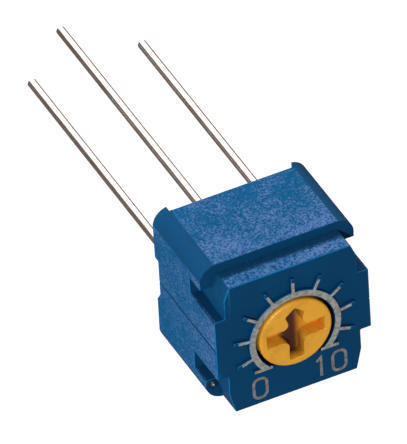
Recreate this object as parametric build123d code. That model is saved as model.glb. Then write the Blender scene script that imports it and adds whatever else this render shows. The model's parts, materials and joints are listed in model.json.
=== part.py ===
"""Trimmer potentiometer: a sealed single-turn type with three straight leads.

Millimetres. The rotor turns about +Z and the adjustment face looks to +Z. The four feet stand on the
XY plane, which is the board seat, and the leads run through it to -Z. +Y is the side with the step.
The pieces are drawn around the rotor's axis, then written with the origin on the middle lead's axis.
"""

from build123d import *
import os
from math import cos, radians, sin

# Housing, outside
body_width = 7.0  # across the tabs, and across the rear block
body_top = 3.7  # rotor axis to the top of the rear block
body_bottom = 3.25  # rotor axis to the underside
body_depth = 5.5  # board seat to adjustment face
corner_r = 0.8  # the rear block's four long edges
foot_height = 0.3
foot_width = 0.67
upper_foot_length = 2.43
lower_foot_length = 2.35
foot_ramp = 0.43  # run of the slope at the lower foot's inner end
collar_depth = 1.2  # the narrower front part, with the dial
collar_drop = 0.4  # its top, below the rear block's top
neck_inset = 0.5  # its neck, inside the tabs
neck_taper = 0.24  # more inset at the neck's two ends
upper_neck_height = 1.54
upper_taper_height = 0.6
lower_neck_height = 1.97
lower_taper_height = 1.0
notch_depth = 1.0  # side notches, behind the collar
upper_notch_height = 0.85
lower_notch_height = 0.92
edge_r = 0.06  # upright edges of the collar
edge_chamfer = 0.03  # around its front
seam_y = 0.2  # parting line on both sides
seam_width = 0.06
seam_depth = 0.03
nub_r = 0.11  # gate nubs under the tabs
nub_inset = 0.05  # from the collar's neck to the nub's edge
nub_drop = 0.25  # from the lower notch to the nub's middle

# Dial, raised on the adjustment face
relief_height = 0.2
ring_width = 0.32
ring_cut_y = -1.46  # the ring's ends are cut level here
tick_step = 27.0  # degrees from tick to tick
tick_count = 9  # radial ticks, with two level ones at the ring's ends
tick_width = 0.14
tick_length = 0.7
end_tick_x = 1.93

# Housing, inside
wall = 0.45
pocket_corner_r = 0.35
seal_recess = 0.05
seal_thickness = 0.75
substrate_thickness = 0.6
wiper_room = 0.75  # substrate to rotor flange
head_room = 0.3  # relief over the lead heads
flange_thickness = 0.5
flange_lip = 0.61  # flange beyond the hub
flange_clearance = 0.08
lug_length = 0.32
lug_half_angle = 9.0
stop_half_angle = 35.0
front_gap = 0.05  # rotor flange to the shoulder it turns under

# Rotor
hub_r = 1.65
hub_clearance = 0.12
hub_rise = 0.06  # above the raised ring
rim_r = 0.12
groove_depth = 0.36
groove_width = 0.5
groove_above_shoulder = 0.5
ring_clearance = 0.04  # o-ring to its bore and its groove
slot_depth = 0.65
slot_width = 0.66
slot_half_length = 1.3
slot_corner_r = 0.26
arrow_half_width = 0.42
arrow_shoulder_y = 0.95
peg_r = 0.16
peg_x = 0.65
peg_length = 0.15

# Element and leads
lead_pitch = 2.54
lead_y = 0.45
lead_r = 0.2
outer_lead_tip = -13.5
middle_lead_tip = -16.0
lead_hole_clearance = 0.025
lead_flat_cover = 0.1  # resin over the stretch that is flattened to anchor the lead
lead_flat_width = 0.52
lead_flat_thickness = 0.24
head_r = 0.28
head_thickness = 0.08
solder_width = 0.12
solder_height = 0.07
film_thickness = 0.03
substrate_clearance = 0.03
track_width = 0.5
track_to_pad = 0.09  # bare ceramic between the track's side and the pads
track_to_collector = 0.27
track_half_angle = 125.0  # from +Y to each end
pad_half_angle = 142.0
pad_margin = 0.4  # pad beyond the lead's axis
pad_tail = 0.1  # pad below the end of the track
pad_clearance = 0.1  # relief beyond the pads, up and down
wiper_thickness = 0.07
wiper_plate_width = 0.5
wiper_contact_inset = 0.2  # inner fingers' contact, from the collector's edge
wiper_contact_gap = 0.02
finger_rise = 0.04  # of the curl, just before the contact
finger_width = 0.14
finger_gap = 0.06
finger_count = 3
finger_curl = 0.16

# Levels, from the board seat up
pocket_floor = foot_height
seal_back = pocket_floor + seal_recess
substrate_back = seal_back + seal_thickness
substrate_front = substrate_back + substrate_thickness
lead_flat_back = seal_back + lead_flat_cover
film_top = substrate_front + film_thickness
flange_back = substrate_front + wiper_room
flange_front = flange_back + flange_thickness
shoulder = flange_front + front_gap
step = body_depth - collar_depth
relief_top = body_depth + relief_height
rotor_top = relief_top + hub_rise

# Places that several pieces share
side = body_width / 2
neck_x = side - neck_inset
collar_top = body_top - collar_drop
tab_top = collar_top - upper_neck_height
tab_bottom = lower_neck_height - body_bottom
middle_y = (body_top - body_bottom) / 2
bore_r = hub_r + hub_clearance
dial_r = bore_r + ring_width
flange_r = hub_r + flange_lip
lug_r = flange_r + lug_length
cavity_r = lug_r + flange_clearance
pocket_x = side - wall
pocket_height = body_top + body_bottom - 2 * wall
track_r = lead_pitch - pad_margin - track_to_pad - track_width / 2
collector_r = track_r - track_width / 2 - track_to_collector
lead_places = {"left": -lead_pitch, "middle": 0.0, "right": lead_pitch}
slack = 1.0  # how far a cutter runs past the face it opens


def bar(radius, bottom, top, x=0.0, y=0.0):
    """A round bar along Z between two levels."""
    lowest = (Align.CENTER, Align.CENTER, Align.MIN)
    return Pos(x, y, bottom) * Cylinder(radius, top - bottom, align=lowest)


def block(x0, x1, y0, y1, z0, z1):
    """A box between two corners."""
    return Pos(x0, y0, z0) * Box(x1 - x0, y1 - y0, z1 - z0, align=(Align.MIN, Align.MIN, Align.MIN))


def prism(points, bottom, top):
    """A straight prism on an outline in XY."""
    face = make_face(Polyline(*points, close=True))
    return extrude(Pos(0, 0, bottom) * face, amount=top - bottom)


def sector(inner, outer, start, end, bottom, top):
    """Part of a ring between two angles in degrees, counter-clockwise from +X."""
    far = CenterArc((0, 0), outer, start, end - start)
    near = CenterArc((0, 0), inner, start, end - start)
    face = make_face([far, Line(far @ 1, near @ 1), near, Line(near @ 0, far @ 0)])
    return extrude(Pos(0, 0, bottom) * face, amount=top - bottom)


def both_sides(solid):
    """A solid with its mirror image across the YZ plane."""
    return solid + mirror(solid, Plane.YZ)


def rear_outline():
    """The rear block's outline, also the outline of its feet."""
    return Pos(0, middle_y) * RectangleRounded(body_width, body_top + body_bottom, corner_r)


def rear_block():
    """The block behind the step, with the side notches cut out of it."""
    solid = extrude(Pos(0, 0, foot_height) * rear_outline(), amount=step - foot_height)
    notch_back = step - notch_depth
    upper = block(neck_x, side + slack, tab_top, tab_top + upper_notch_height, notch_back, step)
    lower = block(neck_x, side + slack, tab_bottom - lower_notch_height, tab_bottom, notch_back, step)
    return solid - both_sides(upper) - both_sides(lower)


def feet():
    """Two long feet on each side. The lower pair slopes away at its inner end."""
    under = extrude(rear_outline(), amount=foot_height)
    inner = side - foot_width
    upper = block(inner, side, body_top - upper_foot_length, body_top, 0, foot_height)
    heel = lower_foot_length - body_bottom
    sloped = [(-body_bottom, 0), (heel, 0), (heel + foot_ramp, foot_height), (-body_bottom, foot_height)]
    profile = Plane.YZ * make_face(Polyline(*sloped, close=True))
    lower = Pos(inner, 0, 0) * extrude(profile, amount=foot_width)
    return under & both_sides(upper + lower)


def collar():
    """The front part that carries the dial, with a tab on each side."""
    right = [
        (neck_x - neck_taper, collar_top),
        (neck_x, collar_top - upper_taper_height),
        (neck_x, tab_top),
        (side, tab_top),
        (side, tab_bottom),
        (neck_x, tab_bottom),
        (neck_x, lower_taper_height - body_bottom),
        (neck_x - neck_taper, -body_bottom),
    ]
    left = [(-x, y) for x, y in reversed(right)]
    solid = prism(right + left, step, body_depth)
    upright = solid.edges().filter_by(Axis.Z)
    solid = fillet(upright, edge_r)
    return chamfer(solid.faces().sort_by(Axis.Z)[-1].edges(), edge_chamfer)


def dial():
    """The raised ring around the rotor, cut level at its ends, with its ticks."""
    ring = bar(dial_r, body_depth, relief_top)
    reach = dial_r + tick_length
    middle = (tick_count - 1) / 2
    for number in range(tick_count):
        tick = block(dial_r / 2, reach, -tick_width / 2, tick_width / 2, body_depth, relief_top)
        ring += Rot(0, 0, 90 + (number - middle) * tick_step) * tick
    ring += block(-end_tick_x, end_tick_x, ring_cut_y, ring_cut_y + tick_width, body_depth, relief_top)
    keep_out = block(-dial_r, dial_r, -dial_r - slack, ring_cut_y, body_depth, relief_top)
    return ring - keep_out


def nubs():
    """Small domes left by the mould's gates, on the step under each tab."""
    x = neck_x + nub_inset + nub_r
    dome = Pos(x, tab_bottom - lower_notch_height - nub_drop, step) * Sphere(nub_r)
    return both_sides(dome)


def pocket(clearance, bottom, top):
    """The room for the element behind the rotor, less a clearance all round."""
    outline = RectangleRounded(2 * (pocket_x - clearance), pocket_height - 2 * clearance, pocket_corner_r)
    return extrude(Pos(0, middle_y, bottom) * outline, amount=top - bottom)


def housing():
    """The blue moulding."""
    solid = rear_block() + feet() + collar() + dial() + nubs()
    seam = Pos(side, seam_y, body_depth / 2) * Box(2 * seam_depth, seam_width, 2 * body_depth)
    solid -= both_sides(seam)
    solid -= pocket(0, -slack, substrate_front)
    solid -= bar(cavity_r, substrate_front, shoulder)
    solid -= bar(bore_r, shoulder, rotor_top)
    low, high = pad_span()
    low, high = low - pad_clearance, high + pad_clearance
    solid -= block(-pocket_x, pocket_x, low, high, substrate_front, substrate_front + head_room)
    start, end = 270 - stop_half_angle, 270 + stop_half_angle
    stop = sector(flange_r + flange_clearance, cavity_r, start, end, flange_back, shoulder)
    return solid + stop


def slot_outline():
    """A cross for the screwdriver, with the arm that points to the dial made into an arrow."""
    cross = Rectangle(2 * slot_half_length, slot_width)
    cross += Pos(0, (arrow_shoulder_y - slot_half_length) / 2) * Rectangle(
        slot_width, slot_half_length + arrow_shoulder_y
    )
    inner = cross.vertices().sort_by(lambda v: v.X**2 + v.Y**2)[:4]
    cross = fillet(inner, slot_corner_r)
    arrow = make_face(
        Polyline(
            (-arrow_half_width, arrow_shoulder_y),
            (0, slot_half_length),
            (arrow_half_width, arrow_shoulder_y),
            (slot_width / 2, slot_width),
            (-slot_width / 2, slot_width),
            close=True,
        )
    )
    return cross + arrow


def rotor():
    """The turning piece: hub, flange with its stop lug, and two pegs that hold the wiper."""
    solid = bar(hub_r, flange_front, rotor_top)
    solid = fillet(solid.edges().filter_by(GeomType.CIRCLE).sort_by(Axis.Z)[-1], rim_r)
    solid += bar(flange_r, flange_back, flange_front)
    solid += sector(hub_r, lug_r, 90 - lug_half_angle, 90 + lug_half_angle, flange_back, flange_front)
    low = shoulder + groove_above_shoulder
    high = low + groove_width
    solid -= bar(hub_r + slack, low, high) - bar(hub_r - groove_depth, low, high)
    solid -= extrude(Pos(0, 0, rotor_top - slot_depth) * slot_outline(), amount=slot_depth + slack)
    for x in (-peg_x, peg_x):
        solid += bar(peg_r, flange_back - peg_length, flange_back, x)
    return solid


def o_ring():
    """The rubber ring that seals the hub in its bore."""
    groove_r = hub_r - groove_depth
    cord_r = (bore_r - groove_r) / 2 - ring_clearance
    level = shoulder + groove_above_shoulder + groove_width / 2
    return Pos(0, 0, level) * Torus((bore_r + groove_r) / 2, cord_r)


def fingers(start, contact):
    """Spring fingers along +Y that come down from the plate to their contact radius."""
    top = flange_back
    low = film_top + wiper_contact_gap + wiper_thickness
    upper = [(start, top), (contact - finger_curl, low + finger_rise), (contact, low)]
    upper.append((contact + finger_curl, low + finger_curl))
    lower = [(y, z - wiper_thickness) for y, z in reversed(upper)]
    profile = Plane.YZ * make_face(Polyline(*upper, *lower, close=True))
    finger = extrude(profile, amount=finger_width)
    pitch = finger_width + finger_gap
    half = finger_count * pitch / 2
    places = [-half + number * pitch + finger_gap / 2 for number in range(finger_count)]
    root = block(-half, half, 0, start, flange_back - wiper_thickness, flange_back)
    return root + [Pos(place, 0, 0) * finger for place in places]


def wiper():
    """The contact spring on the rotor, from the track to the collector."""
    plate = SlotOverall(2 * (peg_x + wiper_plate_width / 2), wiper_plate_width)
    solid = extrude(Pos(0, 0, flange_back - wiper_thickness) * plate, amount=wiper_thickness)
    root = wiper_plate_width / 2
    solid += fingers(root, track_r)
    solid += Rot(0, 0, 180) * fingers(root, collector_r - wiper_contact_inset)
    for x in (-peg_x, peg_x):
        solid -= bar(peg_r, flange_back - slack, flange_back, x)
    return solid


def lead_holes(bottom, top, radius):
    """The three round places that the leads pass through."""
    return [bar(radius, bottom, top, x, lead_y) for x in lead_places.values()]


def substrate():
    """The ceramic plate, against the ledge of the housing."""
    return pocket(substrate_clearance, substrate_back, substrate_front) - lead_holes(
        substrate_back, substrate_front, lead_r + lead_hole_clearance
    )


def resistive_track():
    """The printed resistive arc, open towards -Y."""
    inner, outer = track_r - track_width / 2, track_r + track_width / 2
    start, end = 90 - track_half_angle, 90 + track_half_angle
    return sector(inner, outer, start, end, substrate_front, film_top)


def collector_track():
    """The printed disc that the inner fingers run on."""
    return bar(collector_r, substrate_front, film_top) - bar(lead_r, substrate_front, film_top, 0, lead_y)


def pad_span():
    """The lowest and highest y of the two end pads."""
    end = radians(90 - pad_half_angle)
    return (track_r + track_width / 2) * sin(end) - pad_tail, lead_y + pad_margin


def end_pad():
    """The right-hand pad, from the end of the track to its lead."""
    half = track_width / 2
    low, high = pad_span()
    inner = lead_pitch - pad_margin
    start, end = 90 - pad_half_angle, 90 - track_half_angle
    pad = block(inner, lead_pitch + pad_margin, low, high, substrate_front, film_top)
    pad += block(track_r * cos(radians(start)), inner, low, low + half, substrate_front, film_top)
    pad -= bar(track_r + half, substrate_front, film_top)
    pad += sector(track_r - half, track_r + half, start, end, substrate_front, film_top)
    return pad - bar(lead_r, substrate_front, film_top, lead_pitch, lead_y)


def lead_flat(x):
    """The stretch of a lead that is flattened, against the back of the substrate."""
    half_width, half_thickness = lead_flat_width / 2, lead_flat_thickness / 2
    low, high = lead_y - half_thickness, lead_y + half_thickness
    return block(x - half_width, x + half_width, low, high, lead_flat_back, substrate_back)


def lead(x, tip):
    """A tinned wire with a nail head on the film."""
    wire = bar(lead_r, tip, lead_flat_back, x, lead_y) + lead_flat(x)
    wire += bar(lead_r, substrate_back, film_top, x, lead_y)
    return wire + bar(head_r, film_top, film_top + head_thickness, x, lead_y)


def solder(x):
    """The fillet of solder round a lead's head."""
    corners = [(head_r, 0), (head_r + solder_width, 0), (head_r, solder_height)]
    profile = Plane.XZ * make_face(Polyline(*corners, close=True))
    return Pos(x, lead_y, film_top) * revolve(profile, Axis.Z)


def back_seal():
    """The resin cast behind the substrate, around the leads."""
    resin = pocket(0, seal_back, substrate_back) - lead_holes(seal_back, lead_flat_back, lead_r)
    return resin - [lead_flat(x) for x in lead_places.values()]


def pieces():
    """Every piece by its node's name."""
    made = {
        "housing": housing(),
        "rotor": rotor(),
        "o_ring": o_ring(),
        "wiper": wiper(),
        "substrate": substrate(),
        "resistive_track": resistive_track(),
        "collector_track": collector_track(),
        "end_pad_right": end_pad(),
        "end_pad_left": mirror(end_pad(), Plane.YZ),
        "back_seal": back_seal(),
    }
    for place, x in lead_places.items():
        tip = middle_lead_tip if place == "middle" else outer_lead_tip
        made["lead_" + place] = lead(x, tip)
        made["solder_" + place] = solder(x)
    return made


os.makedirs("parts", exist_ok=True)
for node, shape in pieces().items():
    export_step(Pos(0, -lead_y, 0) * shape, f"parts/{node}.step")
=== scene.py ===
"""Trimmer potentiometer: the finish of each piece, laid over the packed CAD model.

Lengths in the settings are millimetres, and the object itself is in metres. The rotor turns about +Z,
the adjustment face looks to +Z, and the leads run to -Z. +Y is the side with the step.
"""

import json
import math

import bmesh
import bpy
from bpy.props import FloatProperty, FloatVectorProperty, IntProperty, PointerProperty
from bpy.types import Operator, Panel, PropertyGroup
from mathutils import Matrix, Vector


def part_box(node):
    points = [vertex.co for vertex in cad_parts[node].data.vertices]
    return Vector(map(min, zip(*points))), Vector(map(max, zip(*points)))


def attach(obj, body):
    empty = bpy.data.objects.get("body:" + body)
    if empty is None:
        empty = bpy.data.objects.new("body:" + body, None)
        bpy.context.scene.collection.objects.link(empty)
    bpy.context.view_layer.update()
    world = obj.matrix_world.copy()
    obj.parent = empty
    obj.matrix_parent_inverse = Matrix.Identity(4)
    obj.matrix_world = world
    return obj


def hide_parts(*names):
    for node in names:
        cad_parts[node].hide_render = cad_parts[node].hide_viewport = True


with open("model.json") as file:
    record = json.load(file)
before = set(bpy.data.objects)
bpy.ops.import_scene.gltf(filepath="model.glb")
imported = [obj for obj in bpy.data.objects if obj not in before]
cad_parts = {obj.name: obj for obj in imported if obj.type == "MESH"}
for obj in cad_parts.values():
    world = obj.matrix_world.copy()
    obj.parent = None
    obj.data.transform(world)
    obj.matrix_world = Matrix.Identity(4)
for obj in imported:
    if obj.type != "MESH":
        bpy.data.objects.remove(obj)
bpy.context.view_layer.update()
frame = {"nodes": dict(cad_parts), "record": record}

bl_info = {
    "name": "Trimmer Potentiometer",
    "version": (1, 0, 0),
    "blender": (4, 5, 0),
    "location": "View3D > Sidebar > Trimmer",
    "description": "Builds the finish of a sealed single-turn trimmer over its CAD model",
    "category": "Object",
}

MM = 0.001
ROTOR_X, ROTOR_Y = frame["record"]["behaviour"]["joints"][0]["pos_m"][:2]
RELIEF_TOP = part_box("housing")[1][2]
LEADS = ("lead_left", "lead_middle", "lead_right")
SOLDER = ("solder_left", "solder_middle", "solder_right")
SILVER = ("collector_track", "end_pad_left", "end_pad_right")
WELD = 0.0004  # millimetres between corners that are one corner
NEARLY_FLAT = math.radians(0.6)
SHARP = math.radians(48)
RESIN_SHARP = math.radians(50)
WALL_FADE, LEAD_FADE = 0.1, 0.09  # millimetres over which the resin's climb dies away
# The second pair spans the painted shade round each gate nub: darkening that stands in for the shade
# there.
NUB_GLOSS, NUB_SHADE = (0.12, 0.15), (0.13, 0.27)  # millimetres from a gate nub's middle
RING_PIECES = 96
WIRE_RADIUS, RESIN_CORNER = 0.2, 0.35  # millimetres
KEY_PLACE = (0.0, 0.063, -0.078)
FILL_PLACE = (-0.052, 0.052, 0.112)
SIDE_PLACE = (-0.125, 0.01, -0.02)
LIT_POINT = (0.0, 0.0, 0.004)
FLOOR_WIDTH = 6.0
CARD_LEVEL = -0.085
CARD_INSIDE, CARD_OUTSIDE = 0.03, 0.16
CARD_GLOW = 2.0
CARDS = (  # name, first and last angle in degrees, colour
    ("white_card", 20, 130, (1.0, 1.0, 1.0)),
    ("shade_card", 136, 296, (0.11, 0.088, 0.08)),
    ("brown_card", 296, 380, (0.15, 0.085, 0.06)),
)


def length(name, default, description):
    """A size in millimetres."""
    text = description + ", in millimetres"
    return FloatProperty(name=name, description=text, default=default, min=0.0, precision=3)


def amount(name, default, description, **more):
    """A plain number, or a number with a unit."""
    return FloatProperty(name=name, description=description, default=default, **more)


def colour(name, default, description):
    """A linear colour."""
    return FloatVectorProperty(
        name=name, description=description, default=default, size=3, min=0.0, max=1.0, subtype="COLOR"
    )


class HousingSettings(PropertyGroup):
    """The blue moulding."""

    edge: length("Edge", 0.035, "Radius of the moulded outer edges")
    least_edge: length("Shortest Edge", 0.12, "Edges shorter than this stay sharp")
    smooth: colour("Smooth Plastic", (0.0045, 0.058, 0.15), "The polished faces of the moulding")
    grained: colour("Grained Plastic", (0.003, 0.1, 0.25), "The spark-eroded side faces")
    # Painted highlight: the glints on the tops of the grain.
    speckle: colour("Speckle", (0.108, 0.205, 0.45), "The lit tops of the grain")
    # Painted shade: a near-black colour laid in the rotor's bore and round the gate nubs, where shade
    # falls.
    painted_shade: colour("Dirt", (0.0015, 0.006, 0.012), "The dirt in the rotor's bore and round the gate nubs")
    # Partly wear and partly painted highlight: the bevels next to the front face are painted brighter,
    # standing in for the light they catch.
    wear_and_highlight: colour("Worn Edge", (0.008, 0.24, 0.62), "The rubbed edges of the moulding")
    grain: length("Grain", 0.085, "Size of the spark-eroded grain")
    bore: length("Bore", 1.77, "Radius of the hole that the rotor turns in")
    nub_x: length("Nub X", 3.16, "From the middle out to each glossy gate nub")
    nub_y: amount("Nub Y", -2.9, "The nubs' place along Y, in millimetres")
    ledge: length("Ledge", 4.3, "From the board seat up to the step, and to the nubs on it")
    # Painted shadow: how far in front of the step the ledge is painted darker and smoother, standing in
    # for the step's cast shadow.
    step_shadow_depth: length("Shelter", 0.32, "How far the step keeps the ledge in front of it smooth")


class PrintSettings(PropertyGroup):
    """The grey print on the dial."""

    ink: colour("Ink", (0.43, 0.43, 0.4), "The grey print")
    faded: colour("Figure Ink", (0.29, 0.27, 0.28), "The thinner print of the figures")
    relief: length("Relief", 0.2, "From the face down from the raised dial")
    thickness: length("Thickness", 0.008, "Thickness of the print over the relief")
    count: IntProperty(name="Marks", description="Number of radial marks", default=9, min=1)
    step: amount("Step", math.radians(27), "Angle from mark to mark", subtype="ANGLE", unit="ROTATION")
    width: length("Mark Width", 0.13, "Width of a mark")
    reach: length("Mark Length", 0.53, "Length of a mark, from the ring outwards")
    inner: length("Ring Inside", 1.81, "Inner radius of the printed ring")
    outer: length("Ring Outside", 2.07, "Outer radius of the printed ring")
    cut: length("Ring Cut", 1.44, "From the rotor's axis down to the ring's level ends")
    bar: length("End Mark", 1.9, "From the rotor's axis to the tip of each level end mark")
    digit: length("Figure Height", 1.12, "Height of the figures under the ring")
    stroke: length("Figure Stroke", 0.13, "Width of a figure's strokes")
    drop: length("Figure Drop", 2.44, "From the rotor's axis down to the middle of the figures")
    spread: length("Figure Spread", 1.62, "From the rotor's axis out to the middle of each figure")


class RotorSettings(PropertyGroup):
    """The amber rotor."""

    edge: length("Edge", 0.05, "Radius of the slot's outer edges")
    least_edge: length("Shortest Edge", 0.05, "Edges shorter than this stay sharp")
    amber: colour("Amber", (0.97, 0.46, 0.034), "The rotor's plastic")
    # Deep amber: the darker clouds of the plastic, and also the painted shade down in the slot.
    deep: colour("Deep Amber", (0.66, 0.25, 0.01), "The plastic where it is stained or shaded")
    # Painted shadow: a dark brown laid down the upright arms of the slot, standing in for the shadow of
    # the slot's walls.
    slot_shadow: colour("Stain", (0.066, 0.02, 0.013), "The brown stain down the upright arms of the slot")


class LeadSettings(PropertyGroup):
    """The tinned wires."""

    tin: colour("Tin", (0.71, 0.69, 0.66), "The bright tin")
    dull: colour("Dull Tin", (0.46, 0.41, 0.36), "The tin where it has dulled")
    draw: length("Drawing Lines", 0.02, "Spacing of the lines left by drawing the wire")


class SealSettings(PropertyGroup):
    """The cast resin and the parts behind the rotor."""

    resin: colour("Resin", (0.018, 0.035, 0.055), "The cast resin")
    wall_climb: length("Climb at the Walls", 0.045, "How far the resin climbs the housing")
    lead_climb: length("Climb at the Leads", 0.13, "How far the resin climbs each lead")
    cells: IntProperty(name="Cells", description="Cells across the resin's surface", default=96, min=8)
    ceramic: colour("Ceramic", (0.8, 0.78, 0.73), "The fired plate")
    cermet: colour("Cermet", (0.018, 0.017, 0.017), "The resistive track")
    film: colour("Silver Film", (0.62, 0.6, 0.56), "The fired silver")
    spring: colour("Spring Metal", (0.72, 0.6, 0.38), "The wiper")
    rubber: colour("Rubber", (0.016, 0.016, 0.017), "The sealing ring")
    solder: colour("Solder", (0.6, 0.61, 0.62), "The solder round the lead heads")


class StageSettings(PropertyGroup):
    """The floor, the lights and the camera."""

    floor: length("Floor", 120.0, "How far the floor lies below the board seat")
    floor_colour: colour("Floor Colour", (0.93, 0.93, 0.93), "The pale floor")
    glow: amount("Floor Light", 0.78, "Light that the floor gives off", min=0.0)
    horizon: amount("Horizon", 0.2, "Brightness of the surround at eye level", min=0.0)
    overhead: amount("Overhead", 0.26, "Brightness of the surround overhead", min=0.0)
    key: amount("Key Light", 0.108, "Light from behind the step", min=0.0, unit="POWER")
    key_size: length("Key Size", 14.0, "Width of the key light")
    fill: amount("Fill Light", 0.092, "Light on the dial", min=0.0, unit="POWER")
    fill_size: length("Fill Size", 12.0, "Width of the light on the dial")
    side: amount("Side Light", 0.095, "Light on the left side", min=0.0, unit="POWER")
    side_size: length("Side Size", 60.0, "Width of the light on the left side")
    distance: length("Camera Distance", 666.7, "From the object to the camera")
    lens: amount("Lens", 1324.4, "Focal length of the lens, in millimetres", min=1.0)


class Wire:
    """A value in a shader that can be added, scaled and compared like a number."""

    def __init__(self, finish, socket):
        self.finish = finish
        self.socket = socket

    def join(self, operation, *values):
        return self.finish.node("ShaderNodeMath", {"operation": operation}, dict(enumerate(values)))

    def __add__(self, other):
        return self.join("ADD", self, other)

    def __sub__(self, other):
        return self.join("SUBTRACT", self, other)

    def __rsub__(self, other):
        return self.join("SUBTRACT", other, self)

    def __mul__(self, other):
        return self.join("MULTIPLY", self, other)

    def __abs__(self):
        return self.join("ABSOLUTE", self)

    def __pow__(self, other):
        return self.join("POWER", self, other)

    __radd__ = __add__
    __rmul__ = __mul__

    def largest(self, other):
        return self.join("MAXIMUM", self, other)

    def step(self, start, end):
        """0 below start, 1 above end, smooth between."""
        settings = {"interpolation_type": "SMOOTHSTEP"}
        return self.finish.node("ShaderNodeMapRange", settings, {0: self, 1: start, 2: end})


class Finish:
    """A material and its nodes."""

    def __init__(self, name):
        self.material = bpy.data.materials.new(name)
        self.material.use_nodes = True
        self.nodes = self.material.node_tree.nodes
        self.links = self.material.node_tree.links
        self.shader = self.nodes["Principled BSDF"]

    def node(self, kind, settings=None, inputs=None, output=0):
        """Adds a node, gives it its settings and then its inputs, and returns one of its outputs."""
        made = self.nodes.new(kind)
        for name, value in (settings or {}).items():
            setattr(made, name, value)
        for place, value in (inputs or {}).items():
            self.fill(made.inputs[place], value)
        return Wire(self, made.outputs[output])

    def fill(self, socket, value):
        if isinstance(value, Wire):
            self.links.new(value.socket, socket)
        elif hasattr(socket.default_value, "__len__") and len(socket.default_value) == 4:
            socket.default_value = (*value[:3], 1.0)
        else:
            socket.default_value = value

    def surface(self, **inputs):
        """Sets the shader's own inputs, by name with _ for a space."""
        for name, value in inputs.items():
            self.fill(self.shader.inputs[name.replace("_", " ")], value)
        return self.material

    def millimetres(self, stretch=(1.0, 1.0, 1.0)):
        """Object coordinates in millimetres, stretched along each axis."""
        place = self.node("ShaderNodeTexCoord", output="Object")
        scale = tuple(1000.0 * value for value in stretch)
        return self.node("ShaderNodeVectorMath", {"operation": "MULTIPLY"}, {0: place, 1: scale})

    def axes(self, vector):
        """The three parts of a vector."""
        split = self.node("ShaderNodeSeparateXYZ", None, {0: vector}).socket.node
        return [Wire(self, socket) for socket in split.outputs]

    def facing(self):
        """The three parts of the surface's own direction."""
        return self.axes(self.node("ShaderNodeTexCoord", output="Normal"))

    def noise(self, size, detail=2.0, roughness=0.5, place=None):
        """Noise whose lumps are about size millimetres across."""
        inputs = {"Vector": place or self.millimetres(), "Scale": 1.0 / size}
        inputs.update(Detail=detail, Roughness=roughness)
        return self.node("ShaderNodeTexNoise", None, inputs)

    def mix(self, factor, first, second):
        """A colour between two colours."""
        settings = {"data_type": "RGBA"}
        return self.node("ShaderNodeMix", settings, {0: factor, 6: first, 7: second}, output=2)

    def bump(self, height, distance, strength=1.0):
        """Relief of a given distance in millimetres."""
        inputs = {"Height": height, "Distance": distance * MM, "Strength": strength}
        return self.node("ShaderNodeBump", None, inputs)


def span(*parts):
    """The length of a vector, from its parts."""
    return sum(part * part for part in parts) ** 0.5


def blue_plastic(settings):
    """Polished blue plastic in front and round the corners, spark-eroded grain on the flat sides, with
    painted glints on the grain, a painted shadow in front of the step, painted highlights on the front
    edges and painted shade in the bore and round the gate nubs.
    """
    finish = Finish("blue_plastic")
    x, y, z = [abs(part) for part in finish.facing()]
    place_x, place_y, place_z = finish.axes(finish.millimetres())
    (_, low, _), (side, high, _) = [[part / MM for part in corner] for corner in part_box("housing")]
    outermost = abs(place_x).step(side - 0.14, side - 0.06)
    outermost = outermost.largest(place_y.step(high - 0.55, high - 0.47))
    outermost = outermost.largest(place_y.step(low + 0.1, low + 0.02))
    flat = x.largest(y).step(0.985, 0.9985) * outermost
    # Bevels that face partly towards +Z: worn, and painted brighter as a highlight.
    edge = z.step(0.12, 0.4) * (1.0 - z.step(0.8, 0.97))
    grain = finish.noise(settings.grain, 3.0, 0.62)
    coarse = finish.noise(settings.grain * 2.6, 2.0, 0.5)
    patches = finish.noise(1.4, 3.0, 0.55)
    # Painted highlight: the speckle is the grain's glints, painted more often towards the front and less
    # often on the left and right faces.
    glint_toward_front = place_z.step(0.5, 5.5)
    lit = (grain * 0.75 + coarse * 0.35 + patches * 0.35 + glint_toward_front * 0.1).step(0.69, 0.97)
    # Painted shadow: the strip of ledge just in front of the step, where the step's shadow falls, gets
    # fewer glints and the darker smooth colour.
    above = place_z - settings.ledge
    step_shadow = above.step(-0.02, 0.02) * (1.0 - above.step(settings.step_shadow_depth, settings.step_shadow_depth + 0.24))
    step_shadow = step_shadow * place_y.step(2.2, 2.6) * y.step(0.9, 0.99)
    grainy = finish.mix(lit * (1.0 - step_shadow * 0.8 - x * 0.25), settings.grained, settings.speckle)
    shaded = finish.mix(grain.step(0.5, 0.34) * 0.85, grainy, settings.smooth)
    smooth = finish.mix(patches.step(0.35, 0.75) * 0.18, settings.smooth, settings.grained)
    base = finish.mix(flat * (1.0 - step_shadow * 0.6), smooth, shaded)
    base = finish.mix(edge * 0.8, base, settings.wear_and_highlight)
    scuffs = finish.noise(0.5, 4.0, 0.6, finish.millimetres((1.0, 0.25, 1.0)))
    roughness = 0.38 + flat * 0.22 + scuffs * 0.1 - edge * 0.06
    to_nub = span(abs(place_x) - settings.nub_x, place_y - settings.nub_y, above)
    to_axis = span(place_x - ROTOR_X / MM, place_y - ROTOR_Y / MM)
    bore = settings.bore
    # Painted shade: the bore and a ring round each gate nub are darkened to stand in for the shade in
    # these hollows.
    painted_shade_mask = (1.0 - to_nub.step(*NUB_SHADE)).largest(1.0 - to_axis.step(bore + 0.005, bore + 0.03))
    height = (grain + coarse * 0.6) * flat + scuffs * 0.18
    return finish.surface(
        Base_Color=finish.mix(painted_shade_mask * 0.9, base, settings.painted_shade),
        Roughness=roughness,
        Specular_IOR_Level=0.03,
        Coat_Weight=1.0 - to_nub.step(*NUB_GLOSS),
        Coat_Roughness=0.22,
        Coat_IOR=4.0,
        Normal=finish.bump(height, 0.016, 0.75),
    )


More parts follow.
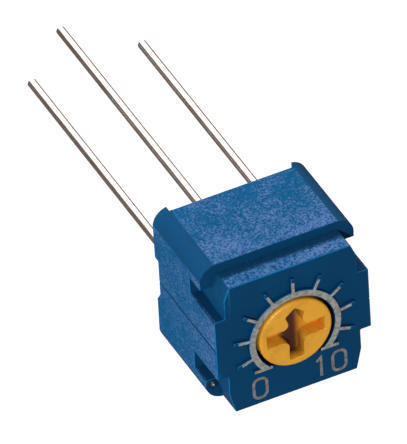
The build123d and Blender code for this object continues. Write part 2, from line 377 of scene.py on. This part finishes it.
def printed_ink(name, tone):
    """Grey pad-printed ink, thin in places."""
    finish = Finish(name)
    patches = finish.noise(0.16, 4.0, 0.6)
    fine = finish.noise(0.045, 2.0, 0.5)
    thin = tuple(part * 0.58 for part in tone)
    base = finish.mix(patches.step(0.62, 0.36), tone, thin)
    return finish.surface(
        Base_Color=base,
        Roughness=0.62 + fine * 0.2,
        Specular_IOR_Level=0.25,
        Normal=finish.bump(fine, 0.006, 0.6),
    )


def amber_plastic(settings):
    """Amber plastic, rougher down in the slot, with painted shade down in the slot and a painted shadow
    down the slot's upright arms.
    """
    finish = Finish("amber_plastic")
    x, y, level = finish.axes(finish.millimetres())
    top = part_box("rotor")[1][2] / MM
    sunk = 1.0 - level.step(top - 0.6, top - 0.06)
    cloud = finish.noise(0.6, 3.0, 0.55)
    fine = finish.noise(0.07, 3.0, 0.6)
    clouded = cloud.step(0.45, 0.7) * 0.32 + fine.step(0.5, 0.7) * 0.12
    base = finish.mix(clouded, settings.amber, settings.deep)
    # Painted shade: the plastic is darkened down in the slot, standing in for the shade in the recess.
    base = finish.mix(sunk * 0.6, base, settings.deep)
    # Painted shadow: the upright arms of the slot, off to the left, are painted dark brown in place of
    # the shadow of their walls.
    upright = 1.0 - abs(x - ROTOR_X / MM + (fine - 0.5) * 0.3 + 0.05).step(0.18, 0.62)
    near = 1.0 - abs(y - ROTOR_Y / MM + (cloud - 0.5) * 0.6).step(1.25, 1.6)
    base = finish.mix(sunk * upright * near, base, settings.slot_shadow)
    scratches = finish.noise(0.2, 3.0, 0.6, finish.millimetres((6.0, 0.6, 1.0)))
    lumps = finish.noise(0.34, 2.0, 0.5)
    return finish.surface(
        Base_Color=base,
        Roughness=0.26 + cloud * 0.12 + sunk * 0.15,
        Specular_IOR_Level=0.5,
        Normal=finish.bump(fine * 0.5 + scratches * 0.3 + lumps * 2.2, 0.016, 0.8),
    )


def tinned_wire(settings):
    """Drawn wire with a tinned coat: lines along its length, dull patches."""
    finish = Finish("tinned_wire")
    lines = finish.noise(settings.draw * 3.0, 3.0, 0.6, finish.millimetres((1.0, 1.0, 0.04)))
    patches = finish.noise(0.5, 4.0, 0.65, finish.millimetres((1.0, 1.0, 0.35)))
    pits = finish.noise(0.05, 2.0, 0.5)
    base = finish.mix(patches.step(0.42, 0.72) * 0.7 + lines * 0.2, settings.tin, settings.dull)
    return finish.surface(
        Base_Color=base,
        Metallic=1.0,
        Roughness=0.06 + patches * 0.12 + pits * 0.04,
        Normal=finish.bump(lines * 0.8 + pits * 0.2, 0.004, 0.3),
    )


def cast_resin(settings):
    """Dark epoxy, glossy and faintly rippled, with dust."""
    finish = Finish("cast_resin")
    ripples = finish.noise(1.1, 2.0, 0.5)
    dust = finish.noise(0.05, 2.0, 0.6)
    paler = tuple(part * 2.2 + 0.01 for part in settings.resin)
    clouded = ripples.step(0.4, 0.7) * 0.5 + dust.step(0.64, 0.72) * 0.4
    return finish.surface(
        Base_Color=finish.mix(clouded, settings.resin, paler),
        Roughness=0.2 + dust * 0.12,
        Specular_IOR_Level=0.5,
        Normal=finish.bump(ripples, 0.02, 0.5),
    )


def fired_ceramic(settings):
    """Off-white ceramic with a fine bite."""
    finish = Finish("fired_ceramic")
    speckle = finish.noise(0.06, 3.0, 0.6)
    greyer = tuple(part * 0.8 for part in settings.ceramic)
    base = finish.mix(speckle.step(0.4, 0.7), settings.ceramic, greyer)
    relief = finish.bump(speckle, 0.004)
    return finish.surface(Base_Color=base, Roughness=0.55 + speckle * 0.15, Normal=relief)


def printed_film(name, tone, metallic, roughness):
    """A fired film with a slightly rough, clouded face."""
    finish = Finish(name)
    cloud = finish.noise(0.12, 4.0, 0.6)
    darker = tuple(part * 0.62 for part in tone)
    base = finish.mix(cloud.step(0.35, 0.7), tone, darker)
    return finish.surface(
        Base_Color=base,
        Metallic=metallic,
        Roughness=roughness + cloud * 0.15,
        Normal=finish.bump(cloud, 0.006),
    )


def black_rubber(settings):
    """Matt rubber with a bloom."""
    finish = Finish("black_rubber")
    bloom = finish.noise(0.2, 3.0, 0.6)
    paler = tuple(part + 0.03 for part in settings.rubber)
    base = finish.mix(bloom.step(0.45, 0.75), settings.rubber, paler)
    return finish.surface(Base_Color=base, Roughness=0.6 + bloom * 0.2, Normal=finish.bump(bloom, 0.006))


def floor_finish(settings):
    """Pale matt board that gives off some light."""
    finish = Finish("pale_board")
    cloud = finish.noise(40.0, 2.0, 0.5)
    paler = tuple(part * 0.985 for part in settings.floor_colour)
    base = finish.mix(cloud, settings.floor_colour, paler)
    return finish.surface(
        Base_Color=base,
        Roughness=0.9,
        Specular_IOR_Level=0.0,
        Emission_Color=settings.floor_colour,
        Emission_Strength=settings.glow,
    )


def mesh_of(name, work):
    """The mesh of a finished bmesh."""
    mesh = bpy.data.meshes.new(name)
    work.to_mesh(mesh)
    work.free()
    return mesh


def new_object(name, mesh):
    """Puts a mesh in the scene."""
    made = bpy.data.objects.new(name, mesh)
    bpy.context.scene.collection.objects.link(made)
    return made


def evaluated_mesh(source):
    """The mesh that an object has after its modifiers."""
    graph = bpy.context.evaluated_depsgraph_get()
    graph.update()
    return bpy.data.meshes.new_from_object(source.evaluated_get(graph), depsgraph=graph)


def settle(piece, body, slot, *replaced):
    """Rides a finished piece on its body and hides the CAD parts that it replaces."""
    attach(piece, body)
    if replaced:
        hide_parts(*replaced)


def rounded_copy(node, edge, least_edge, sharpest=28.0):
    """A copy of a CAD node's mesh with its outer edges rounded."""
    rough = frame["nodes"][node].data.copy()
    for name in ("custom_normal", "sharp_edge", "sharp_face"):
        if name in rough.attributes:
            rough.attributes.remove(rough.attributes[name])
    work = bmesh.new()
    work.from_mesh(rough)
    bmesh.ops.scale(work, vec=(1 / MM, 1 / MM, 1 / MM), verts=work.verts)
    bmesh.ops.remove_doubles(work, verts=work.verts, dist=WELD)
    bmesh.ops.dissolve_limit(work, angle_limit=NEARLY_FLAT, verts=work.verts, edges=work.edges)
    weight = work.edges.layers.float.new("bevel_weight_edge")
    for line in work.edges:
        if len(line.link_faces) == 2 and line.calc_length() > least_edge:
            line[weight] = float(line.calc_face_angle_signed(0.0) > math.radians(sharpest))
    work.to_mesh(rough)
    work.free()
    holder = new_object(node + "_rough", rough)
    bevel = holder.modifiers.new("Outer Edges", "BEVEL")
    bevel.limit_method = "WEIGHT"
    bevel.width = edge
    bevel.segments = 2
    bevel.use_clamp_overlap = False
    bevel.miter_outer = "MITER_ARC"
    holder.data = evaluated_mesh(holder)
    holder.modifiers.clear()
    holder.data.polygons.foreach_set("use_smooth", [True] * len(holder.data.polygons))
    holder.data.set_sharp_from_angle(angle=SHARP)
    weighted = holder.modifiers.new("Flat Faces", "WEIGHTED_NORMAL")
    weighted.keep_sharp = True
    mesh = evaluated_mesh(holder)
    bpy.data.objects.remove(holder)
    mesh.transform(Matrix.Scale(MM, 4))
    mesh.name = node + "_finished"
    mesh.materials.clear()
    return mesh


def film(work, corners, low, high):
    """Adds a thin closed slab on a ring of corners in XY, counter-clockwise from above."""
    top = [work.verts.new((x, y, high)) for x, y in corners]
    bottom = [work.verts.new((x, y, low)) for x, y in corners]
    work.faces.new(top)
    work.faces.new(bottom[::-1])
    for here in range(len(corners)):
        after = (here + 1) % len(corners)
        work.faces.new((bottom[here], bottom[after], top[after], top[here]))


def stroke(path, width, closed):
    """Pieces of outline for a line of even width, one for each stretch of its path."""
    points = [Vector(point) for point in path]
    count = len(points)
    sides = []
    for here, point in enumerate(points):
        before = points[here - 1] if here or closed else None
        after = points[(here + 1) % count] if here < count - 1 or closed else None
        into = (point - before).normalized() if before is not None else (after - point).normalized()
        out = (after - point).normalized() if after is not None else into
        along = (into + out).normalized()
        across = Vector((-along.y, along.x)) * (width / 2 / max(0.5, along.dot(into)))
        sides.append((point + across, point - across))
    stretches = count if closed else count - 1
    for here in range(stretches):
        (left, right), (next_left, next_right) = sides[here], sides[(here + 1) % count]
        yield [tuple(right), tuple(next_right), tuple(next_left), tuple(left)]


def figure_path(figure, x, y, height):
    """The middle line of a printed figure, and whether it closes."""
    half_height, half_width = height / 2, height * 0.3
    if figure == "1":
        flag = (x - half_width * 0.7, y + half_height * 0.62)
        return [flag, (x, y + half_height), (x, y - half_height)], False
    corner = half_width * 0.85
    path = []
    for quarter in range(4):
        sign_x = 1 if quarter in (0, 3) else -1
        sign_y = 1 if quarter in (0, 1) else -1
        for part in range(7):
            angle = math.radians(90 * quarter + 15 * part)
            centre_x = x + sign_x * (half_width - corner)
            centre_y = y + sign_y * (half_height - corner)
            path.append((centre_x + corner * math.cos(angle), centre_y + corner * math.sin(angle)))
    return path, True


def marks_tree(settings, ink):
    """Nodes that set radial marks round the dial."""
    tree = bpy.data.node_groups.new("Dial Marks", "GeometryNodeTree")
    for name, kind in (
        ("Marks", "NodeSocketInt"),
        ("Step", "NodeSocketFloat"),
        ("Width", "NodeSocketFloat"),
        ("Length", "NodeSocketFloat"),
        ("Radius", "NodeSocketFloat"),
        ("Thickness", "NodeSocketFloat"),
    ):
        tree.interface.new_socket(name, in_out="INPUT", socket_type=kind)
    tree.interface.new_socket("Geometry", in_out="OUTPUT", socket_type="NodeSocketGeometry")

    def add(kind, inputs=None, **named):
        made = tree.nodes.new(kind)
        for name, value in named.items():
            setattr(made, name, value)
        for place, value in (inputs or {}).items():
            if isinstance(value, bpy.types.NodeSocket):
                tree.links.new(value, made.inputs[place])
            else:
                made.inputs[place].default_value = value
        return made

    given = add("NodeGroupInput").outputs
    sizes = {"X": given["Length"], "Y": given["Width"], "Z": given["Thickness"]}
    size = add("ShaderNodeCombineXYZ", sizes)
    mark = add("GeometryNodeMeshCube", {"Size": size.outputs[0], "Vertices X": 9})
    half = add("ShaderNodeMath", {0: given["Length"], 1: 0.5}, operation="MULTIPLY")
    out = add("ShaderNodeMath", {0: half.outputs[0], 1: given["Radius"]}, operation="ADD")
    place = add("ShaderNodeCombineXYZ", {"X": out.outputs[0]})
    shift = {"Geometry": mark.outputs["Mesh"], "Translation": place.outputs[0]}
    moved = add("GeometryNodeTransform", shift)
    line = add("GeometryNodeMeshLine", {"Count": given["Marks"], "Offset": (0.0, 0.0, 0.0)})
    last = add("ShaderNodeMath", {0: given["Marks"], 1: 1.0}, operation="SUBTRACT")
    middle = add("ShaderNodeMath", {0: last.outputs[0], 1: 0.5}, operation="MULTIPLY")
    index = add("GeometryNodeInputIndex")
    number = add("ShaderNodeMath", {0: index.outputs[0], 1: middle.outputs[0]}, operation="SUBTRACT")
    turn = add("ShaderNodeMath", {0: number.outputs[0], 1: given["Step"]}, operation="MULTIPLY")
    upright = add("ShaderNodeMath", {0: turn.outputs[0], 1: math.radians(90)}, operation="ADD")
    turned = add("ShaderNodeCombineXYZ", {"Z": upright.outputs[0]})
    placed = add(
        "GeometryNodeInstanceOnPoints",
        {"Points": line.outputs["Mesh"], "Instance": moved.outputs[0], "Rotation": turned.outputs[0]},
    )
    real = add("GeometryNodeRealizeInstances", {0: placed.outputs[0]})
    inked = add("GeometryNodeSetMaterial", {"Geometry": real.outputs[0], "Material": ink})
    add("NodeGroupOutput", {0: inked.outputs[0]})
    return tree


def set_inputs(modifier, values):
    """Gives a nodes modifier its inputs, by each socket's identifier."""
    for item in modifier.node_group.interface.items_tree:
        if item.item_type == "SOCKET" and item.in_out == "INPUT" and item.name in values:
            modifier[item.identifier] = values[item.name]


def resin_depth(x, y, settings, half_x, half_y, leads):
    """How far the resin's surface climbs at a point, from the walls and the leads, in millimetres."""
    to_wall = min(half_x - abs(x), half_y - abs(y))
    climb = settings.wall_climb * math.exp(-max(0.0, to_wall) / WALL_FADE)
    for lead_x, lead_y, radius in leads:
        gap = max(0.0, math.hypot(x - lead_x, y - lead_y) - radius)
        climb += settings.lead_climb * math.exp(-gap / LEAD_FADE)
    return climb


class TRIMMER_OT_housing(Operator):
    """Rounds the moulding's edges and gives it its grained blue finish"""

    bl_idname = "trimmer.housing"
    bl_label = "Housing"

    def execute(self, context):
        settings = context.scene.trimmer_housing
        mesh = rounded_copy("housing", settings.edge, settings.least_edge)
        mesh.materials.append(blue_plastic(settings))
        settle(new_object("housing_moulding", mesh), "housing", "housing", "housing")
        return {"FINISHED"}


class TRIMMER_OT_dial_print(Operator):
    """Prints the ring, its marks and the end figures"""

    bl_idname = "trimmer.dial_print"
    bl_label = "Dial Print"

    def execute(self, context):
        settings = context.scene.trimmer_print
        ink = printed_ink("dial_ink", settings.ink)
        low, high = -settings.thickness / 4, settings.thickness
        centre = Matrix.Translation((ROTOR_X, ROTOR_Y, RELIEF_TOP)) @ Matrix.Scale(MM, 4)

        marks = new_object("dial_marks_source", bpy.data.meshes.new("dial_marks_source"))
        modifier = marks.modifiers.new("Dial Marks", "NODES")
        modifier.node_group = marks_tree(settings, ink)
        set_inputs(
            modifier,
            {
                "Marks": settings.count,
                "Step": settings.step,
                "Width": settings.width,
                "Length": settings.reach,
                "Radius": settings.outer - 0.01,
                "Thickness": 1.8 * high,
            },
        )
        mesh = evaluated_mesh(marks)
        bpy.data.objects.remove(marks)
        mesh.transform(centre)
        settle(new_object("dial_marks", mesh), "housing", "film")

        work = bmesh.new()
        cut = math.degrees(math.asin(settings.cut / settings.outer))
        cut_in = math.degrees(math.asin(settings.cut / settings.inner))
        for part in range(RING_PIECES):
            corners = []
            for share, radius, end in (
                (part, settings.outer, cut),
                (part + 1, settings.outer, cut),
                (part + 1, settings.inner, cut_in),
                (part, settings.inner, cut_in),
            ):
                angle = math.radians(-end + (180 + 2 * end) * share / RING_PIECES)
                corners.append((radius * math.cos(angle), radius * math.sin(angle)))
            film(work, corners, low, high)
        inside = math.sqrt(settings.inner**2 - settings.cut**2)
        for side in (1, -1):
            ends = sorted((side * inside, side * settings.bar))
            top = -settings.cut + settings.width
            level = [(end, -settings.cut) for end in ends] + [(end, top) for end in reversed(ends)]
            film(work, level, low, high * 0.9)
        bmesh.ops.remove_doubles(work, verts=work.verts, dist=1e-5)
        self.place(work, "dial_ring", centre, ink)

        work = bmesh.new()
        sunk = Matrix.Translation((0.0, 0.0, -settings.relief))
        wide = settings.digit * 0.42
        figures = (
            ("0", -settings.spread),
            ("1", settings.spread - wide),
            ("0", settings.spread + wide * 0.75),
        )
        for figure, x in figures:
            path, closed = figure_path(figure, x, -settings.drop, settings.digit - settings.stroke)
            for corners in stroke(path, settings.stroke, closed):
                film(work, corners, low, high)
        self.place(work, "dial_figures", centre @ sunk, printed_ink("figure_ink", settings.faded))
        return {"FINISHED"}

    def place(self, work, name, matrix, ink):
        bmesh.ops.recalc_face_normals(work, faces=work.faces)
        mesh = mesh_of(name, work)
        mesh.transform(matrix)
        mesh.materials.append(ink)
        settle(new_object(name, mesh), "housing", "film")


class TRIMMER_OT_rotor(Operator):
    """Rounds the rotor's slot and gives it its amber finish"""

    bl_idname = "trimmer.rotor"
    bl_label = "Rotor"

    def execute(self, context):
        settings = context.scene.trimmer_rotor
        mesh = rounded_copy("rotor", settings.edge, settings.least_edge, 40.0)
        mesh.materials.append(amber_plastic(settings))
        settle(new_object("rotor_moulding", mesh), "rotor", "rotor", "rotor")
        return {"FINISHED"}


class TRIMMER_OT_leads(Operator):
    """Tins the three leads"""

    bl_idname = "trimmer.leads"
    bl_label = "Leads"

    def execute(self, context):
        tinned = tinned_wire(context.scene.trimmer_leads)
        for node in LEADS:
            finish_node(node, tinned)
        return {"FINISHED"}


def finish_node(node, material):
    """Gives a CAD node its finish."""
    slots = frame["nodes"][node].data.materials
    slots.clear()
    slots.append(material)


class TRIMMER_OT_seal(Operator):
    """Casts the resin around the leads and finishes the parts inside"""

    bl_idname = "trimmer.seal"
    bl_label = "Seal and Element"

    def execute(self, context):
        settings = context.scene.trimmer_seal
        self.cast(settings)
        finish_node("substrate", fired_ceramic(settings))
        finish_node("resistive_track", printed_film("cermet_track", settings.cermet, 0.0, 0.45))
        silver = printed_film("silver_film", settings.film, 0.9, 0.4)
        for node in SILVER:
            finish_node(node, silver)
        finish_node("wiper", printed_film("spring_metal", settings.spring, 1.0, 0.22))
        finish_node("o_ring", black_rubber(settings))
        solder = printed_film("bright_solder", settings.solder, 1.0, 0.2)
        for node in SOLDER:
            finish_node(node, solder)
        return {"FINISHED"}

    def cast(self, settings):
        lowest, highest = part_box("back_seal")
        half_x, half_y = [(highest[axis] - lowest[axis]) / 2 / MM for axis in (0, 1)]
        middle = [(highest[axis] + lowest[axis]) / 2 / MM for axis in (0, 1)]
        back, front = lowest[2] / MM, highest[2] / MM
        leads = []
        for node in LEADS:
            low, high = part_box(node)
            x, y = [(low[axis] + high[axis]) / 2 / MM - middle[axis] for axis in (0, 1)]
            leads.append((x, y, WIRE_RADIUS))
        inner_x, inner_y = half_x - RESIN_CORNER, half_y - RESIN_CORNER
        work = bmesh.new()
        grid = {}
        for row in range(settings.cells + 1):
            for column in range(settings.cells + 1):
                x = half_x * (2 * column / settings.cells - 1)
                y = half_y * (2 * row / settings.cells - 1)
                over_x, over_y = abs(x) - inner_x, abs(y) - inner_y
                if over_x > 0 and over_y > 0:
                    pull = max(over_x, over_y) / math.hypot(over_x, over_y)
                    x = math.copysign(inner_x + over_x * pull, x)
                    y = math.copysign(inner_y + over_y * pull, y)
                climb = resin_depth(x, y, settings, half_x, half_y, leads)
                grid[column, row] = work.verts.new((x + middle[0], y + middle[1], back - climb))
        for row in range(settings.cells):
            for column in range(settings.cells):
                ring = ((column, row), (column, row + 1), (column + 1, row + 1), (column + 1, row))
                work.faces.new([grid[place] for place in ring])
        rim = [line for line in work.edges if line.is_boundary]
        skirt = bmesh.ops.extrude_edge_only(work, edges=rim)["geom"]
        ends = [part for part in skirt if isinstance(part, bmesh.types.BMVert)]
        for vert in ends:
            vert.co.z = front
        bmesh.ops.contextual_create(work, geom=[line for line in work.edges if line.is_boundary])
        bmesh.ops.recalc_face_normals(work, faces=work.faces)
        mesh = mesh_of("resin_cast", work)
        mesh.transform(Matrix.Scale(MM, 4))
        mesh.polygons.foreach_set("use_smooth", [True] * len(mesh.polygons))
        mesh.set_sharp_from_angle(angle=RESIN_SHARP)
        mesh.materials.append(cast_resin(settings))
        settle(new_object("resin_cast", mesh), "housing", "seal", "back_seal")


class TRIMMER_OT_stage(Operator):
    """Sets the floor, the lights and the camera"""

    bl_idname = "trimmer.stage"
    bl_label = "Stage"

    def execute(self, context):
        settings = context.scene.trimmer_stage
        self.floor(settings)
        self.surround(context, settings)
        self.light("Key", settings.key, settings.key_size, KEY_PLACE, False)
        self.light("Fill", settings.fill, settings.fill_size, FILL_PLACE, True)
        self.light("Side", settings.side, settings.side_size, SIDE_PLACE, False)
        self.cards()
        self.camera(context, settings)
        context.scene.view_settings.view_transform = "Standard"
        return {"FINISHED"}

    def panel(self, name, centre, towards, width, height):
        """A flat square turned to look at a point."""
        turn = (Vector(towards) - Vector(centre)).to_track_quat("Z", "Y").to_matrix().to_4x4()
        work = bmesh.new()
        bmesh.ops.create_grid(work, x_segments=1, y_segments=1, size=0.5)
        mesh = mesh_of(name, work)
        mesh.transform(Matrix.Translation(centre) @ turn @ Matrix.Diagonal((width, height, 1, 1)))
        made = new_object(name, mesh)
        return made

    def floor(self, settings):
        level = -settings.floor * MM
        board = self.panel("floor", (0, 0, level), (0, 0, 1), FLOOR_WIDTH, FLOOR_WIDTH)
        board.data.materials.append(floor_finish(settings))
        board.visible_diffuse = False

    def surround(self, context, settings):
        world = bpy.data.worlds.new("Surround")
        context.scene.world = world
        world.use_nodes = True
        nodes, links = world.node_tree.nodes, world.node_tree.links
        place = nodes.new("ShaderNodeTexCoord")
        split = nodes.new("ShaderNodeSeparateXYZ")
        links.new(place.outputs["Generated"], split.inputs[0])
        rise = nodes.new("ShaderNodeMapRange")
        rise.interpolation_type = "SMOOTHSTEP"
        rise.inputs["From Min"].default_value = 0.1
        rise.inputs["From Max"].default_value = 0.75
        rise.inputs["To Min"].default_value = settings.horizon
        rise.inputs["To Max"].default_value = settings.overhead
        links.new(split.outputs["Z"], rise.inputs["Value"])
        links.new(rise.outputs[0], nodes["Background"].inputs["Strength"])
        nodes["Background"].inputs["Color"].default_value = (1.0, 1.0, 1.0, 1.0)

    def light(self, name, power, size, place, mirrored):
        """A square lamp that looks at the object, seen in reflections only if mirrored."""
        light = bpy.data.lights.new(name, "AREA")
        light.energy = power
        light.size = size * MM
        lamp = bpy.data.objects.new(name, light)
        lamp.location = place
        lamp.rotation_euler = (Vector(LIT_POINT) - lamp.location).to_track_quat("-Z", "Y").to_euler()
        lamp.visible_camera = False
        lamp.visible_glossy = mirrored
        bpy.context.scene.collection.objects.link(lamp)

    def cards(self):
        """Cards below the leads, each part of a ring, seen only in reflections."""
        for name, start, end, tone in CARDS:
            out, back = range(start, end + 1, 2), range(end, start - 1, -2)
            work = bmesh.new()
            corners = []
            for radius, angles in ((CARD_OUTSIDE, out), (CARD_INSIDE, back)):
                for angle in map(math.radians, angles):
                    place = (radius * math.cos(angle), radius * math.sin(angle), CARD_LEVEL)
                    corners.append(work.verts.new(place))
            work.faces.new(corners)
            card = new_object(name, mesh_of(name, work))
            card.data.materials.append(
                Finish(name).surface(
                    Base_Color=(0, 0, 0),
                    Specular_IOR_Level=0.0,
                    Emission_Color=tone,
                    Emission_Strength=CARD_GLOW,
                )
            )
            card.visible_camera = False
            card.visible_diffuse = False
            card.visible_shadow = False
            card.visible_transmission = False

    def camera(self, context, settings):
        right = Vector((0.894505, -0.048785, 0.444389))
        down = Vector((-0.318462, -0.767168, 0.556808))
        ahead = Vector((0.313757, -0.639588, -0.701772))
        aim = Vector((-0.6615, 0.6053, -1.2575)) * MM
        data = bpy.data.cameras.new("Camera")
        data.lens = settings.lens
        data.sensor_width = 36.0
        data.clip_start = 0.01
        data.clip_end = 20.0
        lens = bpy.data.objects.new("Camera", data)
        turn = Matrix((right, -down, -ahead)).transposed()
        lens.matrix_world = Matrix.Translation(aim - ahead * settings.distance * MM) @ turn.to_4x4()
        context.scene.collection.objects.link(lens)
        context.scene.camera = lens


STEPS = (
    TRIMMER_OT_housing,
    TRIMMER_OT_dial_print,
    TRIMMER_OT_rotor,
    TRIMMER_OT_leads,
    TRIMMER_OT_seal,
    TRIMMER_OT_stage,
)
GROUPS = {
    "trimmer_housing": HousingSettings,
    "trimmer_print": PrintSettings,
    "trimmer_rotor": RotorSettings,
    "trimmer_leads": LeadSettings,
    "trimmer_seal": SealSettings,
    "trimmer_stage": StageSettings,
}


class TRIMMER_PT_panel(Panel):
    """The trimmer's settings and steps"""

    bl_idname = "TRIMMER_PT_panel"
    bl_label = "Trimmer"
    bl_space_type = "VIEW_3D"
    bl_region_type = "UI"
    bl_category = "Trimmer"

    def draw(self, context):
        for step in STEPS:
            self.layout.operator(step.bl_idname)
        for name, group in GROUPS.items():
            box = self.layout.box()
            box.label(text=group.__doc__)
            for setting in group.__annotations__:
                box.prop(getattr(context.scene, name), setting)


def register():
    for made in (*GROUPS.values(), *STEPS, TRIMMER_PT_panel):
        bpy.utils.register_class(made)
    for name, group in GROUPS.items():
        setattr(bpy.types.Scene, name, PointerProperty(type=group))


def unregister():
    for name in GROUPS:
        delattr(bpy.types.Scene, name)
    for made in (TRIMMER_PT_panel, *reversed(STEPS), *reversed(GROUPS.values())):
        bpy.utils.unregister_class(made)


def main():
    register()
    for step in STEPS:
        group, name = step.bl_idname.split(".")
        getattr(getattr(bpy.ops, group), name)()


if __name__ == "__main__":
    main()
